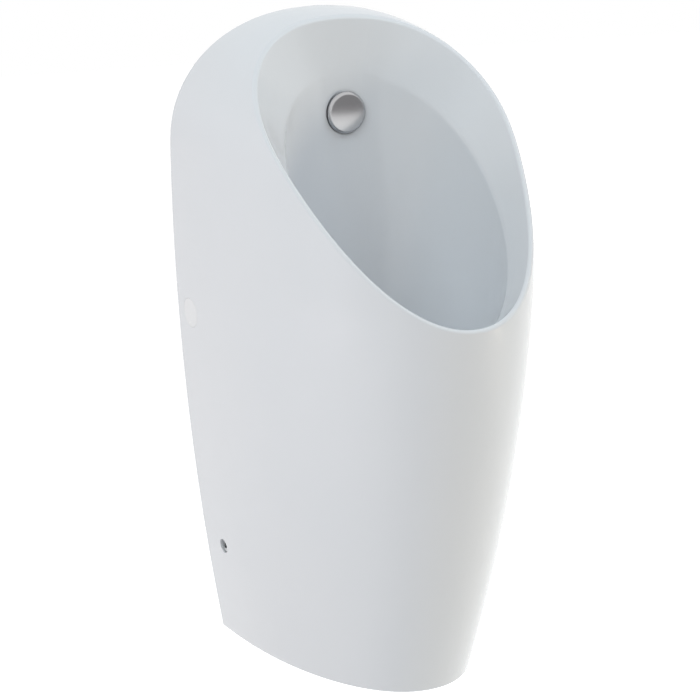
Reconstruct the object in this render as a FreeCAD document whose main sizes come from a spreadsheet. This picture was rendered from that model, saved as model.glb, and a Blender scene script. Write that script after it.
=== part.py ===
"""Wall-hung urinal: one hollow glazed body with spray head, lift-out trap and side fixings.

Frame in millimetres: the wall is the plane y = 0 and the front faces -Y. The origin is the middle of
the four wall bolt holes. Heights are measured up from the foot and set against that datum when a
piece is placed. Distances called "out" run from the wall towards the front, so y = -out.
"""
import FreeCAD
import Part
import math
import os
import Sketcher

doc = FreeCAD.newDocument("urinal")
sheet = doc.addObject("Spreadsheet::Sheet", "Sizes")

# Driving dimensions
DRIVING = {
    # Outer egg of the ceramic
    "height": 650.0,
    "full_width": 327.0,
    "full_depth": 325.0,
    "base_width": 228.0,
    "crown_height": 123.0,
    "crown_power": 2.24,
    "base_depth": 248.0,
    "deepest_drop": 237.0,
    "front_power": 1.8,
    "dome_drop": 273.0,
    "dome_rise": 2.5,
    "dome_power": 1.7,
    "plan_power": 2.1,
    "wall": 11.0,
    "foot_round": 4.0,
    # Slanted opening and bevelled band
    "rim_angle": 44.0,
    "rim_over": 44.2,
    "rim_land": 5.0,
    "rim_round": 2.3,
    "crease_depth": 36.0,
    "crease_width": 208.0,
    "crease_top_gap": 45.0,
    "crease_lip_gap": 8.0,
    "crease_egg": 0.1,
    "crease_blend": 3.0,
    # Bowl below the fold
    "back_lean": 7.0,
    "back_run": 125.0,
    "sump_back_reach": 42.0,
    "front_run": 46.0,
    "sump_front_reach": 32.0,
    "sump_rise": 9.0,
    "drain_out": 165.0,
    "bowl_drop": 420.0,
    "drain_seat_dia": 74.0,
    "drain_hole_dia": 60.0,
    # Spray head
    "spray_drop": 101.0,
    "cap_dia": 42.0,
    "cap_length": 7.5,
    "cap_skin": 2.5,
    "cap_bevel": 2.2,
    "cap_dome": 1.6,
    "cap_wall": 2.5,
    "cap_boss": 2.7,
    "spray_gap": 1.5,
    "spray_flange_dia": 36.0,
    "spray_flange": 1.5,
    "port_dia": 1.8,
    "hub_skin": 1.0,
    "distributor_slot": 1.6,
    "distributor_slots": 12,
    "spray_hole_dia": 22.0,
    "tail_dia": 20.0,
    "tail_bore": 10.0,
    "hub_dia": 18.0,
    "lock_nut_flats": 30.0,
    "lock_nut_height": 8.0,
    "rear_washer": 3.0,
    "steel_washer": 2.0,
    "washer_dia": 34.0,
    "tail_end": 18.0,
    "regulator_dia": 14.0,
    "regulator": 6.0,
    "supply_dia": 15.0,
    "supply_depth": 11.0,
    "coupling_dia": 28.0,
    "coupling_grip": 15.0,
    "filter": 2.0,
    "filter_slot": 1.2,
    "filter_slots": 10,
    "regulator_slots": 6,
    "o_ring": 2.4,
    "o_ring_place": 5.0,
    # Trap and outlet
    "flange_dia": 70.0,
    "flange_thick": 3.0,
    "thread_dia": 56.0,
    "insert_dia": 49.0,
    "dip_dia": 41.0,
    "dip_wall": 2.0,
    "dip_drop": 148.0,
    "ledge_drop": 16.0,
    "collar": 6.5,
    "strainer": 2.5,
    "strainer_knob": 7.0,
    "strainer_knob_dia": 9.0,
    "strainer_slot": 2.0,
    "strainer_slots": 12,
    "flange_tail": 38.0,
    "collar_dia": 72.0,
    "neck": 20.0,
    "chamber_dia": 84.0,
    "chamber_drop": 132.0,
    "cup_drop": 168.0,
    "cup_dia": 92.0,
    "plastic": 3.0,
    "cup_thread": 16.0,
    "cup_grip": 1.5,
    "cup_grips": 18,
    "outlet_drop": 75.0,
    "outlet_stub_dia": 60.0,
    "outlet_reach": 67.0,
    "outlet_socket": 20.0,
    "union_nut_dia": 70.0,
    "union_nut_length": 21.0,
    "union_nut_lip": 4.0,
    "grip_depth": 2.0,
    "grip_width": 7.0,
    "grip_count": 10,
    "cone_seal": 3.5,
    "outlet_pipe_dia": 50.0,
    "outlet_pipe_wall": 2.5,
    "cuff_wall": 4.0,
    "cuff_length": 53.0,
    "cuff_stop": 2.0,
    "cuff_mouth": 29.0,
    "wall_gap": 3.0,
    "seal": 1.5,
    # Side fixings
    "lower_fix_height": 106.0,
    "lower_fix_out": 40.0,
    "lower_hole_dia": 15.0,
    "fix_spacing": 248.0,
    "upper_fix_out": 28.0,
    "upper_hole_dia": 30.0,
    "plug_gap": 0.2,
    "plug_skirt": 3.5,
    "screw_dia": 8.0,
    "screw_head_dia": 13.0,
    "screw_head": 4.5,
    "screw_length": 32.0,
    "socket_flats": 6.0,
    "side_seat_skin": 8.5,
    "bush_flange": 7.5,
    "bush_lip": 4.0,
    "bush_pilot": 1.5,
    "steel": 4.0,
    "bracket_height": 40.0,
    "bracket_tail": 12.0,
    "bracket_edge": 20.0,
    "bend": 3.0,
    "bolt_spacing": 160.0,
    "bolt_hole_dia": 9.0,
    "nut_flats": 13.0,
    "nut_height": 6.5,
    # Clearances
    "slip": 0.15,
    "loose": 0.5,
}


class Size:
    """A length together with the sheet expression that drives it."""

    def __init__(self, value, text):
        self.value = value
        self.text = text

    def joined(self, other, sign, value):
        return Size(value, "(" + self.text + " " + sign + " " + sized(other).text + ")")

    def __add__(self, other):
        return self.joined(other, "+", self.value + sized(other).value)

    def __sub__(self, other):
        return self.joined(other, "-", self.value - sized(other).value)

    def __mul__(self, other):
        return self.joined(other, "*", self.value * sized(other).value)

    def __truediv__(self, other):
        return self.joined(other, "/", self.value / sized(other).value)


def sized(number):
    """Wrap a plain number, so that it joins with sheet values."""
    return number if isinstance(number, Size) else Size(float(number), repr(float(number)))


class Book:
    """The sheet's values by name, each a Size bound to its own cell."""

    def __init__(self):
        self.row = 0

    def put(self, name, value):
        self.row += 1
        sheet.set("A" + str(self.row), name)
        sheet.set("B" + str(self.row), repr(float(value)))
        sheet.setAlias("B" + str(self.row), name)
        setattr(self, name, Size(float(value), "Sizes." + name))

    def follow(self, name, size):
        """A size worked out in the sheet from other sizes."""
        self.put(name, size.value)
        sheet.set("B" + str(self.row), "=" + size.text.replace("Sizes.", ""))


book = Book()
for name, value in DRIVING.items():
    book.put(name, value)

# Heights over the foot that follow from drops below the top, the drain and the fixings
book.follow("widest_height", book.height - book.crown_height)
book.follow("deepest_height", book.height - book.deepest_drop)
book.follow("dome_start", book.height - book.dome_drop)
book.follow("rim_wall_height", book.height + book.rim_over)
book.follow("spray_height", book.height - book.spray_drop)
book.follow("drain_height", book.height - book.bowl_drop)
book.follow("dip_foot_height", book.drain_height - book.dip_drop)
book.follow("chamber_foot", book.drain_height - book.chamber_drop)
book.follow("cup_foot", book.drain_height - book.cup_drop)
book.follow("outlet_height", book.drain_height - book.outlet_drop)
book.follow("outlet_stub_out", book.drain_out - book.outlet_reach)
book.follow("upper_fix_height", book.lower_fix_height + book.fix_spacing)
doc.recompute()


def given(name):
    """A size from the sheet as a plain number."""
    return float(sheet.get(name))


# Outer egg: half width and depth by height, and the oval plan between them

def half_width(z):
    widest = given("widest_height")
    half = given("full_width") / 2
    if z < widest:
        base = given("base_width") / 2
        return base + (half - base) * (1 - (1 - max(z, 0) / widest) ** 2)
    share = min((z - widest) / (given("height") - widest), 1)
    return half * (1 - share ** 2) ** (1 / given("crown_power"))


def depth_at(z):
    base = given("base_depth")
    low = min(max(z, 0) / given("deepest_height"), 1)
    depth = base + (given("full_depth") - base) * (1 - (1 - low) ** given("front_power"))
    start = given("dome_start")
    share = min(max((z - start) / (given("height") - start), 0), 1)
    return depth * (1 - share ** given("dome_rise")) ** (1 / given("dome_power"))


def side_x(z, out):
    """Half width of the outer skin at a height and a distance from the wall."""
    power = given("plan_power")
    return half_width(z) * (1 - min(out / depth_at(z), 1) ** power) ** (1 / power)


def egg_row(z, inset):
    """Control points of the egg at one height, from wall edge to wall edge round the front."""
    count = 24
    swell = 3 / (2 + math.cos(math.pi / count))
    wide = (half_width(z) - inset) * swell
    deep = (depth_at(z) - inset) * swell
    power = 2 / given("plan_power")
    row = []
    for step in range(count + 1):
        turn = math.pi * step / count
        x = wide * math.copysign(abs(math.cos(turn)) ** power, math.cos(turn))
        row.append(FreeCAD.Vector(x, -deep * math.sin(turn) ** power, z))
    return row


def net_skin(rows, closed):
    """Smooth surface over rows of control points, each row open or closed on itself."""
    degree = 3
    along = list(range(len(rows) - degree + 1))
    ends = [degree + 1] + [1] * (len(along) - 2) + [degree + 1]
    across = list(range(len(rows[0]) + 1 if closed else len(rows[0]) - degree + 1))
    if closed:
        marks = [1] * len(across)
    else:
        marks = [degree + 1] + [1] * (len(across) - 2) + [degree + 1]
    skin = Part.BSplineSurface()
    skin.buildFromPolesMultsKnots(rows, ends, marks, along, across, False, closed, degree, degree)
    return skin


def closed_solid(faces):
    """Sew faces that share their edges into one solid."""
    shell = Part.Shell(faces)
    shell.sewShape()
    solid = Part.Solid(shell)
    if solid.Volume < 0:
        solid.reverse()
    return solid


def egg(inset, back, below):
    """The egg drawn in by an inset, its flat back and foot moved out by back and below."""
    full = given("height")
    knee = given("dome_start")
    low_count = 8
    crown_count = 18
    levels = [knee * step / low_count for step in range(low_count)]
    for step in range(crown_count):
        levels.append(knee + (full - knee) * math.sin(0.5 * math.pi * step / crown_count))
    rows = []
    for z in levels:
        fade = min(1, 2 * (full - z) / (full - knee))
        sink = inset * max(0, z - knee) / (full - knee)
        rows.append([point - FreeCAD.Vector(0, 0, sink) for point in egg_row(z, inset * fade)])
    if below:
        rows.insert(0, [point - FreeCAD.Vector(0, 0, below) for point in rows[0]])
    tip = FreeCAD.Vector(0, 0, full - inset)
    rows.append([tip] * len(rows[0]))
    skin = net_skin(rows, False)
    side = skin.toShape()
    right = skin.vIso(0).toShape()
    left = skin.vIso(skin.bounds()[3]).toShape()
    front = skin.uIso(0).toShape()
    sill = Part.makeLine(rows[0][0], rows[0][-1])
    foot = Part.Face(Part.Wire([front, sill]))
    rear = Part.Face(Part.Wire(Part.sortEdges([right, left, sill])[0]))
    solid = closed_solid([side, foot, rear])
    if back:
        solid = solid.fuse(rear.extrude(FreeCAD.Vector(0, back, 0)))
    return solid


# Slanted opening: the plane that cuts the egg, and the frame of the bowl below it

def rim_height(out):
    return given("rim_wall_height") - out * math.tan(math.radians(given("rim_angle")))


def rim_end(inner, outer):
    """Distance out, between an inner and an outer guess, where the plane leaves the egg's middle."""
    lip_side = inner < depth_at(rim_height(inner))
    for step in range(60):
        out = (inner + outer) / 2
        if (out < depth_at(rim_height(out))) == lip_side:
            inner = out
        else:
            outer = out
    return inner


SLANT = math.radians(given("rim_angle"))
DOWN = FreeCAD.Vector(0, -math.cos(SLANT), -math.sin(SLANT))
INTO = FreeCAD.Vector(0, math.sin(SLANT), -math.cos(SLANT))
top_out = rim_end(given("wall"), given("full_depth") / 2)
lip_out = rim_end(given("full_depth") / 2, given("full_depth") * 2)
RIM_TOP = FreeCAD.Vector(0, -top_out, rim_height(top_out))
RIM_LIP = FreeCAD.Vector(0, -lip_out, rim_height(lip_out))
RING_POINTS = 36


def oval(back, front, half, egg_share):
    """Ring of control points from a back to a front point, widest towards the back by its egg share."""
    points = []
    swell = 3 / (2 + math.cos(2 * math.pi / RING_POINTS))
    middle = (back + front) * 0.5
    reach = (back - front) * 0.5
    for step in range(RING_POINTS):
        turn = 2 * math.pi * step / RING_POINTS
        x = half * math.sin(turn) * (1 + egg_share * math.cos(turn))
        points.append(middle + (reach * math.cos(turn) + FreeCAD.Vector(x, 0, 0)) * swell)
    return points


def rim_ring(inset):
    """Ring of control points that follows the cut egg at an inset from its edge."""
    points = []
    back = RIM_TOP + DOWN * inset
    front = RIM_LIP - DOWN * inset
    swell = 3 / (2 + math.cos(2 * math.pi / RING_POINTS))
    middle = (back + front) * 0.5
    for step in range(RING_POINTS):
        turn = 2 * math.pi * step / RING_POINTS
        spot = middle + (back - front) * (0.5 * math.cos(turn))
        full = middle + (RIM_TOP - RIM_LIP) * (0.5 * math.cos(turn))
        edge = side_x(full.z, -full.y)
        x = math.copysign(max(edge - inset * abs(math.sin(turn)), 0), math.sin(turn))
        points.append(middle + (spot - middle + FreeCAD.Vector(x, 0, 0)) * swell)
    return points


def bezier(corners, share):
    """Point on a cubic curve."""
    rest = 1 - share
    weights = (rest ** 3, 3 * rest ** 2 * share, 3 * rest * share ** 2, share ** 3)
    spot = FreeCAD.Vector(0, 0, 0)
    for corner, weight in zip(corners, weights):
        spot = spot + corner * weight
    return spot


def grown(back, front, half, egg_share, grow):
    """The oval of a ring, moved outwards by a wall thickness measured level."""
    along = (back - front).normalize()
    slide = grow / max(abs(along.y), 0.3)
    return oval(back + along * slide, front - along * slide, half + grow, egg_share)


def bowl_rings(grow):
    """Control rings of the bowl, from above the rim over the band and the fold to the drain."""
    rim = rim_ring(given("rim_land") - grow)
    fold_back = RIM_TOP + DOWN * given("crease_top_gap") + INTO * given("crease_depth")
    fold_front = RIM_LIP - DOWN * given("crease_lip_gap") + INTO * given("crease_depth")
    fold_half = given("crease_width") / 2
    fold = grown(fold_back, fold_front, fold_half, given("crease_egg"), grow)
    rings = []
    blend = given("crease_blend") / given("crease_depth")
    for share in (-0.5, -0.25, 0.0, 0.35, 0.7, 1 - 2 * blend, 1 - blend, 1.0):
        rings.append([a + (b - a) * share for a, b in zip(rim, fold)])
    seat = given("drain_seat_dia") / 2
    drain_back = FreeCAD.Vector(0, seat - given("drain_out"), given("drain_height") - grow)
    drain_front = FreeCAD.Vector(0, -seat - given("drain_out"), given("drain_height") - grow)
    rise = FreeCAD.Vector(0, 0, given("sump_rise"))
    back_line = (
        fold_back,
        fold_back + FreeCAD.Vector(0, -given("back_lean"), -given("back_run")),
        drain_back + rise + FreeCAD.Vector(0, given("sump_back_reach"), 0),
        drain_back,
    )
    front_line = (
        fold_front,
        fold_front + INTO * given("front_run"),
        drain_front + rise - FreeCAD.Vector(0, given("sump_front_reach"), 0),
        drain_front,
    )
    tight = given("crease_blend") / given("back_run") / 2
    for share in (tight, 3 * tight, 0.1, 0.2, 0.34, 0.5, 0.66, 0.8, 0.9, 1.0):
        half = seat + (fold_half - seat) * (1 - share ** 2.6)
        egg_share = given("crease_egg") * (1 - share)
        ring = grown(bezier(back_line, share), bezier(front_line, share), half, egg_share, grow)
        rings.append(ring)
    return rings


def bowl_space(grow):
    """Closed solid of the bowl's space, grown outwards by a wall where one is given."""
    rings = bowl_rings(grow)
    skin = net_skin(rings, True)
    mouth = Part.Face(Part.Wire(skin.uIso(0).toShape()))
    drain = Part.Face(Part.Wire(skin.uIso(skin.bounds()[1]).toShape()))
    return closed_solid([skin.toShape(), mouth, drain])


def above_rim():
    """Block over the slanted plane."""
    reach = 2 * given("height")
    block = Part.makeBox(reach, reach, reach, FreeCAD.Vector(-reach / 2, -reach / 2, 0))
    turn = FreeCAD.Rotation(FreeCAD.Vector(1, 0, 0), given("rim_angle"))
    block.Placement = FreeCAD.Placement(RIM_TOP, turn)
    return block


def rod(dia, start, end):
    """Round bar between two points."""
    return Part.makeCylinder(dia / 2, (end - start).Length, start, end - start)


# Seats that follow from the ceramic's form

SPACE = bowl_space(0.0)
EGG = egg(0.0, 0.0, 0.0)


def back_wall_out(z):
    """Distance from the wall to the bowl's back wall on the middle line."""
    sight = Part.makeLine(FreeCAD.Vector(0, 0, z), FreeCAD.Vector(0, -given("drain_out"), z))
    return -sight.common(SPACE).BoundBox.YMax


book.put("spray_seat", back_wall_out(given("spray_height") + given("cap_dia") / 2))
for level in ("lower", "upper"):
    skin_x = side_x(given(level + "_fix_height"), given(level + "_fix_out"))
    book.put(level + "_seat", skin_x - given("side_seat_skin"))
doc.recompute()


DATUM = (book.lower_fix_height + book.upper_fix_height) / 2


# Ceramic body

def rounded(solid, radius, picked):
    """Round the edges that a test picks."""
    return solid.makeFillet(radius, [edge for edge in solid.Edges if picked(edge)])


def on_rim(edge):
    middle = edge.valueAt((edge.FirstParameter + edge.LastParameter) / 2)
    return abs((middle - RIM_TOP).dot(INTO)) < 0.01 and edge.Length > given("full_width")


def on_foot_front(edge):
    box = edge.BoundBox
    return box.ZMax < 0.01 and box.YLength > 1


def spray_cuts():
    """Hole for the spray head, its ground seat in the bowl and the flat seat behind."""
    wall = given("wall")
    z = given("spray_height")
    seat = given("spray_seat")
    ring = given("cap_dia") + 4 * given("loose")
    return [
        rod(given("spray_hole_dia"), FreeCAD.Vector(0, 0, z), FreeCAD.Vector(0, -seat - wall, z)),
        rod(ring, FreeCAD.Vector(0, -seat, z), FreeCAD.Vector(0, -seat - 2 * wall, z)),
        rod(ring, FreeCAD.Vector(0, 0, z), FreeCAD.Vector(0, wall - seat, z)),
    ]


def drain_cuts():
    """Hole for the drain, its seat in the bowl and the flat seat below."""
    wall = given("wall")
    y = -given("drain_out")
    z = given("drain_height")
    ring = given("drain_seat_dia") + 2 * given("loose")
    under = ring + 4 * given("loose")
    return [
        rod(given("drain_hole_dia"), FreeCAD.Vector(0, y, z - 3 * wall), FreeCAD.Vector(0, y, z + wall)),
        rod(ring, FreeCAD.Vector(0, y, z), FreeCAD.Vector(0, y, z + wall)),
        rod(under, FreeCAD.Vector(0, y, z - 3 * wall), FreeCAD.Vector(0, y, z - wall)),
    ]


def side_cuts():
    """Holes through the skin for the side screws, each with a flat seat inside."""
    wall = given("wall")
    cuts = []
    for level in ("lower", "upper"):
        y = -given(level + "_fix_out")
        z = given(level + "_fix_height")
        x = given(level + "_seat")
        hole = given(level + "_hole_dia")
        ring = hole + 2 * given("bush_lip") + 4 * given("loose")
        for side in (-1, 1):
            start = FreeCAD.Vector(side * (x - wall), y, z)
            cuts.append(rod(hole, start, FreeCAD.Vector(side * (x + 3 * wall), y, z)))
            cuts.append(rod(ring, start, FreeCAD.Vector(side * x, y, z)))
    return cuts


def ceramic():
    """Egg cut by the slanted plane and the bowl, rounded, hollowed from the wall side and pierced."""
    wall = given("wall")
    body = EGG.cut(above_rim()).cut(SPACE).Solids[0]
    body = rounded(body, given("rim_round"), on_rim)
    body = rounded(body, given("foot_round"), on_foot_front)
    hollow = egg(wall, wall, wall).cut(above_rim()).cut(bowl_space(wall))
    return body.cut([hollow] + spray_cuts() + drain_cuts() + side_cuts()).Solids[0]


def plain_part(label, shape):
    """Document object for a form that is set by code."""
    item = doc.addObject("Part::Feature", label)
    item.Label = label
    item.Shape = shape
    item.Placement = FreeCAD.Placement(FreeCAD.Vector(0, 0, -DATUM.value), FreeCAD.Rotation())
    return item


# Turned pieces

def origin_plane(body, role):
    return next(feature for feature in body.Origin.OriginFeatures if feature.Role == role)


def bound_sketch(body, role, name):
    sketch = body.newObject("Sketcher::SketchObject", name)
    sketch.AttachmentSupport = (origin_plane(body, role), [""])
    sketch.MapMode = "FlatFace"
    return sketch


def pin_point(sketch, geometry, end, across, up):
    """Bind a sketch point's two coordinates to sheet values."""
    for kind, axis, size in (("DistanceX", -2, sized(across)), ("DistanceY", -1, sized(up))):
        if abs(size.value) < 1e-9:
            sketch.addConstraint(Sketcher.Constraint("PointOnObject", geometry, end, axis))
        else:
            rule = Sketcher.Constraint(kind, -1, 1, geometry, end, size.value)
            index = sketch.addConstraint(rule)
            sketch.setExpression("Constraints[" + str(index) + "]", size.text)


def crowned(start, end):
    """Arc that rises from one point of an outline to another, centred on the turning axis."""
    centre = (end.x ** 2 + end.y ** 2 - start.x ** 2 - start.y ** 2) / (2 * (end.y - start.y))
    middle = FreeCAD.Vector(0, centre, 0)
    first = math.atan2(start.y - centre, start.x)
    last = math.atan2(end.y - centre, end.x)
    circle = Part.Circle(middle, FreeCAD.Vector(0, 0, 1), (end - middle).Length)
    return Part.ArcOfCircle(circle, first, last)


def outline(body, role, corners, dome=None):
    """Closed outline whose corners are bound to sheet values. The side named by dome is an arc."""
    sketch = bound_sketch(body, role, body.Name + "_outline")
    points = [FreeCAD.Vector(sized(a).value, sized(b).value, 0) for a, b in corners]
    for index, (start, end) in enumerate(zip(points, points[1:] + points[:1])):
        side = crowned(start, end) if index == dome else Part.LineSegment(start, end)
        sketch.addGeometry(side, False)
    if dome is not None:
        sketch.addConstraint(Sketcher.Constraint("PointOnObject", dome, 3, -2))
    for index in range(len(points)):
        after = (index + 1) % len(points)
        sketch.addConstraint(Sketcher.Constraint("Coincident", index, 2, after, 1))
    for index, (across, up) in enumerate(corners):
        pin_point(sketch, index, 1, across, up)
    return sketch


def turned(label, corners, dome=None):
    """Body made by turning an outline of radius and height about the upright axis."""
    body = doc.addObject("PartDesign::Body", label)
    body.Label = label
    sketch = outline(body, "XZ_Plane", corners, dome)
    turn = body.newObject("PartDesign::Revolution", label + "_turn")
    turn.Profile = sketch
    turn.ReferenceAxis = (sketch, ["V_Axis"])
    turn.Angle = 360
    sketch.Visibility = False
    return body


def round_hole(body, role, across, up, dia, name):
    """Hole right through a body, square to one of its planes."""
    sketch = bound_sketch(body, role, body.Name + "_" + name)
    centre = FreeCAD.Vector(sized(across).value, sized(up).value, 0)
    sketch.addGeometry(Part.Circle(centre, FreeCAD.Vector(0, 0, 1), dia.value / 2), False)
    pin_point(sketch, 0, 3, across, up)
    index = sketch.addConstraint(Sketcher.Constraint("Diameter", 0, dia.value))
    sketch.setExpression("Constraints[" + str(index) + "]", dia.text)
    pocket = body.newObject("PartDesign::Pocket", body.Name + "_" + name + "_cut")
    pocket.Profile = sketch
    pocket.Type = 1
    pocket.Midplane = True
    sketch.Visibility = False
    return pocket


def radial_slots(body, inner, outer, width, low, high, count):
    """Straight slots from an inner to an outer radius, cut between two heights and spaced evenly."""
    sketch = bound_sketch(body, "XY_Plane", body.Name + "_slot")
    half = width / 2
    sketch.AttachmentOffset = FreeCAD.Placement(FreeCAD.Vector(0, 0, high.value), FreeCAD.Rotation())
    sketch.setExpression("AttachmentOffset.Base.z", high.text)
    corners = ((inner, -1), (outer, -1), (outer, 1), (inner, 1))
    points = [FreeCAD.Vector(sized(a).value, half.value * b, 0) for a, b in corners]
    for start, end in zip(points, points[1:] + points[:1]):
        sketch.addGeometry(Part.LineSegment(start, end), False)
    for index, (across, sign) in enumerate(corners):
        sketch.addConstraint(Sketcher.Constraint("Coincident", index, 2, (index + 1) % 4, 1))
        pin_point(sketch, index, 1, across, half if sign > 0 else sized(0) - half)
    pocket = body.newObject("PartDesign::Pocket", body.Name + "_slot_cut")
    pocket.Profile = sketch
    pocket.Length = (high - low).value
    pocket.setExpression("Length", (high - low).text)
    sketch.Visibility = False
    ring = body.newObject("PartDesign::PolarPattern", body.Name + "_slots")
    ring.Originals = [pocket]
    ring.Axis = (sketch, ["N_Axis"])
    ring.Angle = 360
    ring.Occurrences = int(count.value)
    ring.setExpression("Occurrences", count.text)
    body.Tip = ring
    return ring


UPRIGHT = FreeCAD.Rotation()
OUTWARD = FreeCAD.Rotation(FreeCAD.Vector(1, 0, 0), 90)
RIGHTWARD = FreeCAD.Rotation(FreeCAD.Vector(0, 1, 0), 90)
LEFTWARD = FreeCAD.Rotation(FreeCAD.Vector(0, 1, 0), -90)


def set_on(item, x, y, z, turn):
    """Place an object in the frame that it is drawn in, each coordinate bound to its sheet value."""
    place = [sized(x), sized(y), sized(z)]
    item.Placement = FreeCAD.Placement(FreeCAD.Vector(*[size.value for size in place]), turn)
    for axis, size in zip("xyz", place):
        if abs(size.value) > 1e-9:
            item.setExpression("Placement.Base." + axis, size.text)
    return item


def put(item, x, y, height, turn):
    """Place an object by its height over the foot."""
    return set_on(item, x, y, height - DATUM, turn)


def cylinder(name, dia, length):
    item = doc.addObject("Part::Cylinder", name)
    item.setExpression("Radius", (sized(dia) / 2).text)
    item.setExpression("Height", sized(length).text)
    return item


def prism(name, flats, length):
    """Six-sided bar by its width across flats."""
    item = doc.addObject("Part::Prism", name)
    item.Polygon = 6
    item.setExpression("Circumradius", (sized(flats) / 3 ** 0.5).text)
    item.setExpression("Height", sized(length).text)
    return item


def joined(label, kind, base, tool):
    """Cut or fusion of two objects."""
    item = doc.addObject("Part::" + kind, label)
    item.Label = label
    item.Base = base
    item.Tool = tool
    base.Visibility = False
    tool.Visibility = False
    return item


plain_part("ceramic_body", ceramic())


# Spray head, heights measured out from the wall

b = book
zero = sized(0)
seat = b.spray_seat
gasket_front = seat + b.seal
spray_flange_front = gasket_front + b.spray_flange
cap_back = seat + b.spray_gap
cap_face = cap_back + b.cap_length
cap_inside = cap_face - b.cap_skin
boss_back = cap_inside - b.cap_boss
bore_top = cap_inside - b.slip * 2 - b.hub_skin
hub_r = b.hub_dia / 2
cap_r = b.cap_dia / 2
tail_r = b.tail_dia / 2
bore_r = b.tail_bore / 2
washer_r = b.washer_dia / 2
coupling_r = b.coupling_dia / 2
supply_r = b.supply_dia / 2 + b.slip / 3
rear_seat = seat - b.wall
steel_front = rear_seat - b.rear_washer
nut_front = steel_front - b.steel_washer
regulator_r = b.regulator_dia / 2

spray_body = turned("spray_body", [
    (regulator_r, b.tail_end),
    (tail_r, b.tail_end),
    (tail_r, gasket_front),
    (b.spray_flange_dia / 2, gasket_front),
    (b.spray_flange_dia / 2, spray_flange_front),
    (hub_r, spray_flange_front),
    (hub_r, cap_inside - b.slip * 2),
    (zero, cap_inside - b.slip * 2),
    (zero, bore_top),
    (bore_r, bore_top),
    (bore_r, b.tail_end + b.regulator),
    (regulator_r, b.tail_end + b.regulator),
])
port_height = spray_flange_front + b.slip + b.port_dia / 2
round_hole(spray_body, "XZ_Plane", zero, port_height, b.port_dia, "port_across")
round_hole(spray_body, "YZ_Plane", zero, port_height, b.port_dia, "port_up")

turned("spray_cap", [
    (hub_r + b.slip, boss_back),
    (hub_r + b.cap_wall, boss_back),
    (hub_r + b.cap_wall, cap_inside),
    (cap_r - b.cap_wall, cap_inside),
    (cap_r - b.cap_wall, cap_back),
    (cap_r, cap_back),
    (cap_r, cap_face - b.cap_dome - b.cap_bevel),
    (cap_r - b.cap_bevel, cap_face - b.cap_dome),
    (zero, cap_face),
    (zero, cap_inside),
    (hub_r + b.slip, cap_inside),
], dome=7)

distributor_back = spray_flange_front + b.slip
distributor_in = hub_r + b.cap_wall + b.slip * 2
distributor_out = cap_r - b.cap_wall - b.slip * 2
distributor = turned("spray_distributor", [
    (distributor_in, distributor_back),
    (distributor_out, distributor_back),
    (distributor_out, cap_inside - b.slip),
    (distributor_in, cap_inside - b.slip),
])
slot_top = distributor_back + b.distributor_slot
radial_slots(
    distributor, hub_r, cap_r, b.distributor_slot, distributor_back, slot_top, b.distributor_slots
)

turned("spray_gasket", [
    (tail_r + b.loose, seat),
    (b.spray_flange_dia / 2, seat),
    (b.spray_flange_dia / 2, gasket_front),
    (tail_r + b.loose, gasket_front),
])
turned("spray_rear_washer", [
    (tail_r + b.loose, steel_front),
    (washer_r, steel_front),
    (washer_r, rear_seat),
    (tail_r + b.loose, rear_seat),
])
turned("spray_steel_washer", [
    (tail_r + b.loose, nut_front),
    (washer_r, nut_front),
    (washer_r, steel_front),
    (tail_r + b.loose, steel_front),
])

nut_block = prism("lock_nut_block", b.lock_nut_flats, b.lock_nut_height)
nut_bore = cylinder("lock_nut_bore", b.tail_dia + b.slip * 2, b.lock_nut_height)
lock_nut = joined("spray_lock_nut", "Cut", nut_block, nut_bore)

turned("inlet_coupling", [
    (supply_r, b.wall_gap),
    (coupling_r - b.plastic, b.wall_gap),
    (coupling_r, b.wall_gap + b.plastic),
    (coupling_r, b.tail_end + b.coupling_grip),
    (tail_r + b.slip, b.tail_end + b.coupling_grip),
    (tail_r + b.slip, b.tail_end - b.filter),
    (supply_r, b.wall_gap + b.supply_depth),
    (supply_r, b.wall_gap + b.o_ring_place + b.o_ring),
    (supply_r + b.o_ring, b.wall_gap + b.o_ring_place + b.o_ring),
    (supply_r + b.o_ring, b.wall_gap + b.o_ring_place),
    (supply_r, b.wall_gap + b.o_ring_place),
])
ring_low = b.wall_gap + b.o_ring_place + b.slip
ring_high = b.wall_gap + b.o_ring_place + b.o_ring - b.slip
ring_out = supply_r + b.o_ring - b.slip
chamfer = b.o_ring / 4
turned("inlet_o_ring", [
    (supply_r + chamfer, ring_low),
    (ring_out - chamfer, ring_low),
    (ring_out, ring_low + chamfer),
    (ring_out, ring_high - chamfer),
    (ring_out - chamfer, ring_high),
    (supply_r + chamfer, ring_high),
    (supply_r, ring_high - chamfer),
    (supply_r, ring_low + chamfer),
])

inlet_filter = turned("inlet_filter", [
    (zero, b.tail_end - b.filter),
    (tail_r, b.tail_end - b.filter),
    (tail_r, b.tail_end),
    (zero, b.tail_end),
])
radial_slots(
    inlet_filter,
    b.filter * 2,
    tail_r - b.filter,
    b.filter_slot,
    b.tail_end - b.filter,
    b.tail_end,
    b.filter_slots,
)

regulator = turned("flow_regulator", [
    (zero, b.tail_end),
    (regulator_r - b.slip, b.tail_end),
    (regulator_r - b.slip, b.tail_end + b.regulator - b.slip),
    (bore_r, b.tail_end + b.regulator - b.slip),
    (bore_r - b.filter, b.tail_end + b.regulator / 2),
    (zero, b.tail_end + b.regulator / 2),
])
radial_slots(
    regulator,
    bore_r / 2,
    bore_r - b.filter / 2,
    b.filter_slot,
    b.tail_end,
    b.tail_end + b.regulator / 2,
    b.regulator_slots,
)

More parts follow.
